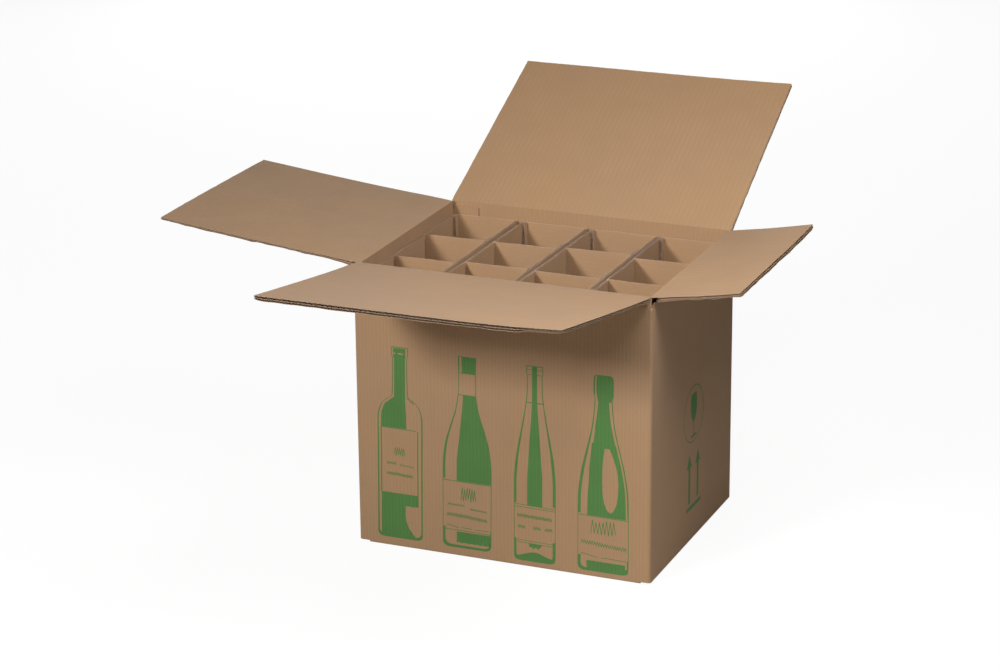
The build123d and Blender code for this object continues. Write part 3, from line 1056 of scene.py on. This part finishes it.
class MESH_OT_carton_dividers(bpy.types.Operator):
    """Builds the four folded dividers of single-wall board"""
    bl_idname = "mesh.carton_dividers"
    bl_label = "Dividers"

    def execute(self, context):
        for column in range(4):
            divider_piece(column)
        return {"FINISHED"}


class MESH_OT_carton_print(bpy.types.Operator):
    """Prints the bottles on the front and the handling marks on the side"""
    bl_idname = "mesh.carton_print"
    bl_label = "Print"

    def execute(self, context):
        front_print()
        side_print()
        return {"FINISHED"}


FLOOR_HALF, FLOOR_DROP = 60.0, -0.0002
WHITE_SHARE = 0.8      # how far the floor looks as white as the room
UNDER_REACH = 0.002    # a ray this short meets the floor right under the carton
UNDER_GLOW = 0.35
CAMERA_TURN, CAMERA_RISE, CAMERA_ROLL = radians(22.76), radians(18.96), radians(-0.55)
CAMERA_TARGET, CAMERA_AWAY, CAMERA_LENS = Vector((-0.0715, 0, 0.2703)), 4.31375, 110.3


class SCENE_OT_carton_stage(bpy.types.Operator):
    """Lays the floor, and sets the lights and the camera"""
    bl_idname = "scene.carton_stage"
    bl_label = "Floor, lights and camera"

    def execute(self, context):
        scene = context.scene
        studio = scene.carton_studio
        corners = [(x * FLOOR_HALF, y * FLOOR_HALF, FLOOR_DROP)
                   for x, y in ((-1, -1), (1, -1), (1, 1), (-1, 1))]
        floor = build("floor", corners, [(0, 1, 2, 3)], [])
        paint = bpy.data.materials.new("Pale floor")
        add = adder(tree_of(paint))
        sight = add("ShaderNodeLightPath")
        matt = add("ShaderNodeBsdfPrincipled", {"Base Color": (*studio.floor, 1), "Roughness": 0.9})[0]
        glow = add("ShaderNodeEmission", {"Color": (1, 1, 1, 1), "Strength": studio.backdrop})[0]
        seen = add("ShaderNodeMath", {0: sight["Is Camera Ray"], 1: WHITE_SHARE}, operation="MULTIPLY")[0]
        # right under the carton the floor gives a little light, so that the bottom can be seen
        touching = add("ShaderNodeMath", {0: sight["Ray Length"], 1: UNDER_REACH}, operation="LESS_THAN")[0]
        soft = add("ShaderNodeEmission", {"Strength": UNDER_GLOW})[0]
        lit = add("ShaderNodeMixShader", {0: seen, 1: matt, 2: glow})[0]
        top = add("ShaderNodeMixShader", {0: touching, 1: lit, 2: soft})[0]
        # from below, the floor is clear
        below = add("ShaderNodeNewGeometry")["Backfacing"]
        clear = add("ShaderNodeBsdfTransparent")[0]
        add("ShaderNodeOutputMaterial", {0: add("ShaderNodeMixShader", {0: below, 1: top, 2: clear})[0]})
        floor.data.materials.append(paint)

        world = bpy.data.worlds.new("Room")
        add = adder(tree_of(world))
        room = add("ShaderNodeBackground", {"Color": (1, 1, 1, 1), "Strength": studio.ambient})[0]
        white = add("ShaderNodeBackground", {"Color": (1, 1, 1, 1), "Strength": studio.backdrop})[0]
        sight = add("ShaderNodeLightPath")["Is Camera Ray"]
        add("ShaderNodeOutputWorld", {0: add("ShaderNodeMixShader", {0: sight, 1: room, 2: white})[0]})
        scene.world = world
        scene.view_settings.view_transform = "Standard"

        aim = Vector((0, 0, 0.25))
        for name, place, width, power in (
            ("front_light", (-1.0, -2.8, 1.7), 0.5, studio.key),
            ("top_light", (0.52, -0.42, 1.3), 0.6, studio.top),
            ("side_light", (2.4, -1.5, 0.9), 1.2, studio.side),
            ("back_light", (-1.4, 3.1, 0.9), 1.6, studio.back),
        ):
            lamp = bpy.data.lights.new(name, "AREA")
            lamp.shape = "SQUARE"
            lamp.size = width
            lamp.energy = power
            holder = put(name, lamp)
            holder.location = place
            holder.rotation_euler = (Vector(place) - aim).to_track_quat("Z", "Y").to_euler()

        away = Vector((sin(CAMERA_TURN) * cos(CAMERA_RISE), -cos(CAMERA_TURN) * cos(CAMERA_RISE),
                       sin(CAMERA_RISE)))
        right = (-away).cross(Vector((0, 0, 1))).normalized()
        up = right.cross(-away)
        level = right * cos(CAMERA_ROLL) + up * sin(CAMERA_ROLL)
        tall = up * cos(CAMERA_ROLL) - right * sin(CAMERA_ROLL)
        lens = bpy.data.cameras.new("camera")
        lens.lens = CAMERA_LENS
        lens.sensor_width = 36.0
        lens.clip_end = 100.0
        scene.camera = put("camera", lens)
        matrix = Matrix((level, tall, away)).transposed().to_4x4()
        matrix.translation = CAMERA_TARGET + away * CAMERA_AWAY
        scene.camera.matrix_world = matrix
        return {"FINISHED"}


class VIEW3D_PT_carton(bpy.types.Panel):
    """Sizes, colours and steps of the carton"""
    bl_label = "Bottle carton"
    bl_space_type = "VIEW_3D"
    bl_region_type = "UI"
    bl_category = "Carton"

    def draw(self, context):
        for group in GROUPS:
            settings = getattr(context.scene, group)
            for name in settings.__annotations__:
                self.layout.prop(settings, name)
        for operator in STEPS:
            self.layout.operator(operator.bl_idname)


GROUPS = {
    "carton_board": CartonBoard, "carton_flaps": FlapSizes, "carton_dividers": DividerSizes,
    "carton_print": PrintFinish, "carton_studio": StudioLook,
}
STEPS = (
    MESH_OT_carton_walls, MESH_OT_carton_flaps, MESH_OT_carton_dividers, MESH_OT_carton_print,
    SCENE_OT_carton_stage,
)


def register():
    for made in (*GROUPS.values(), *STEPS, VIEW3D_PT_carton):
        bpy.utils.register_class(made)
    for name, group in GROUPS.items():
        setattr(bpy.types.Scene, name, PointerProperty(type=group))


def unregister():
    for name in GROUPS:
        delattr(bpy.types.Scene, name)
    for made in (VIEW3D_PT_carton, *STEPS[::-1], *list(GROUPS.values())[::-1]):
        bpy.utils.unregister_class(made)


def main():
    register()
    bpy.ops.mesh.carton_walls()
    bpy.ops.mesh.carton_flaps()
    bpy.ops.mesh.carton_dividers()
    bpy.ops.mesh.carton_print()
    bpy.ops.scene.carton_stage()


if __name__ == "__main__":
    main()
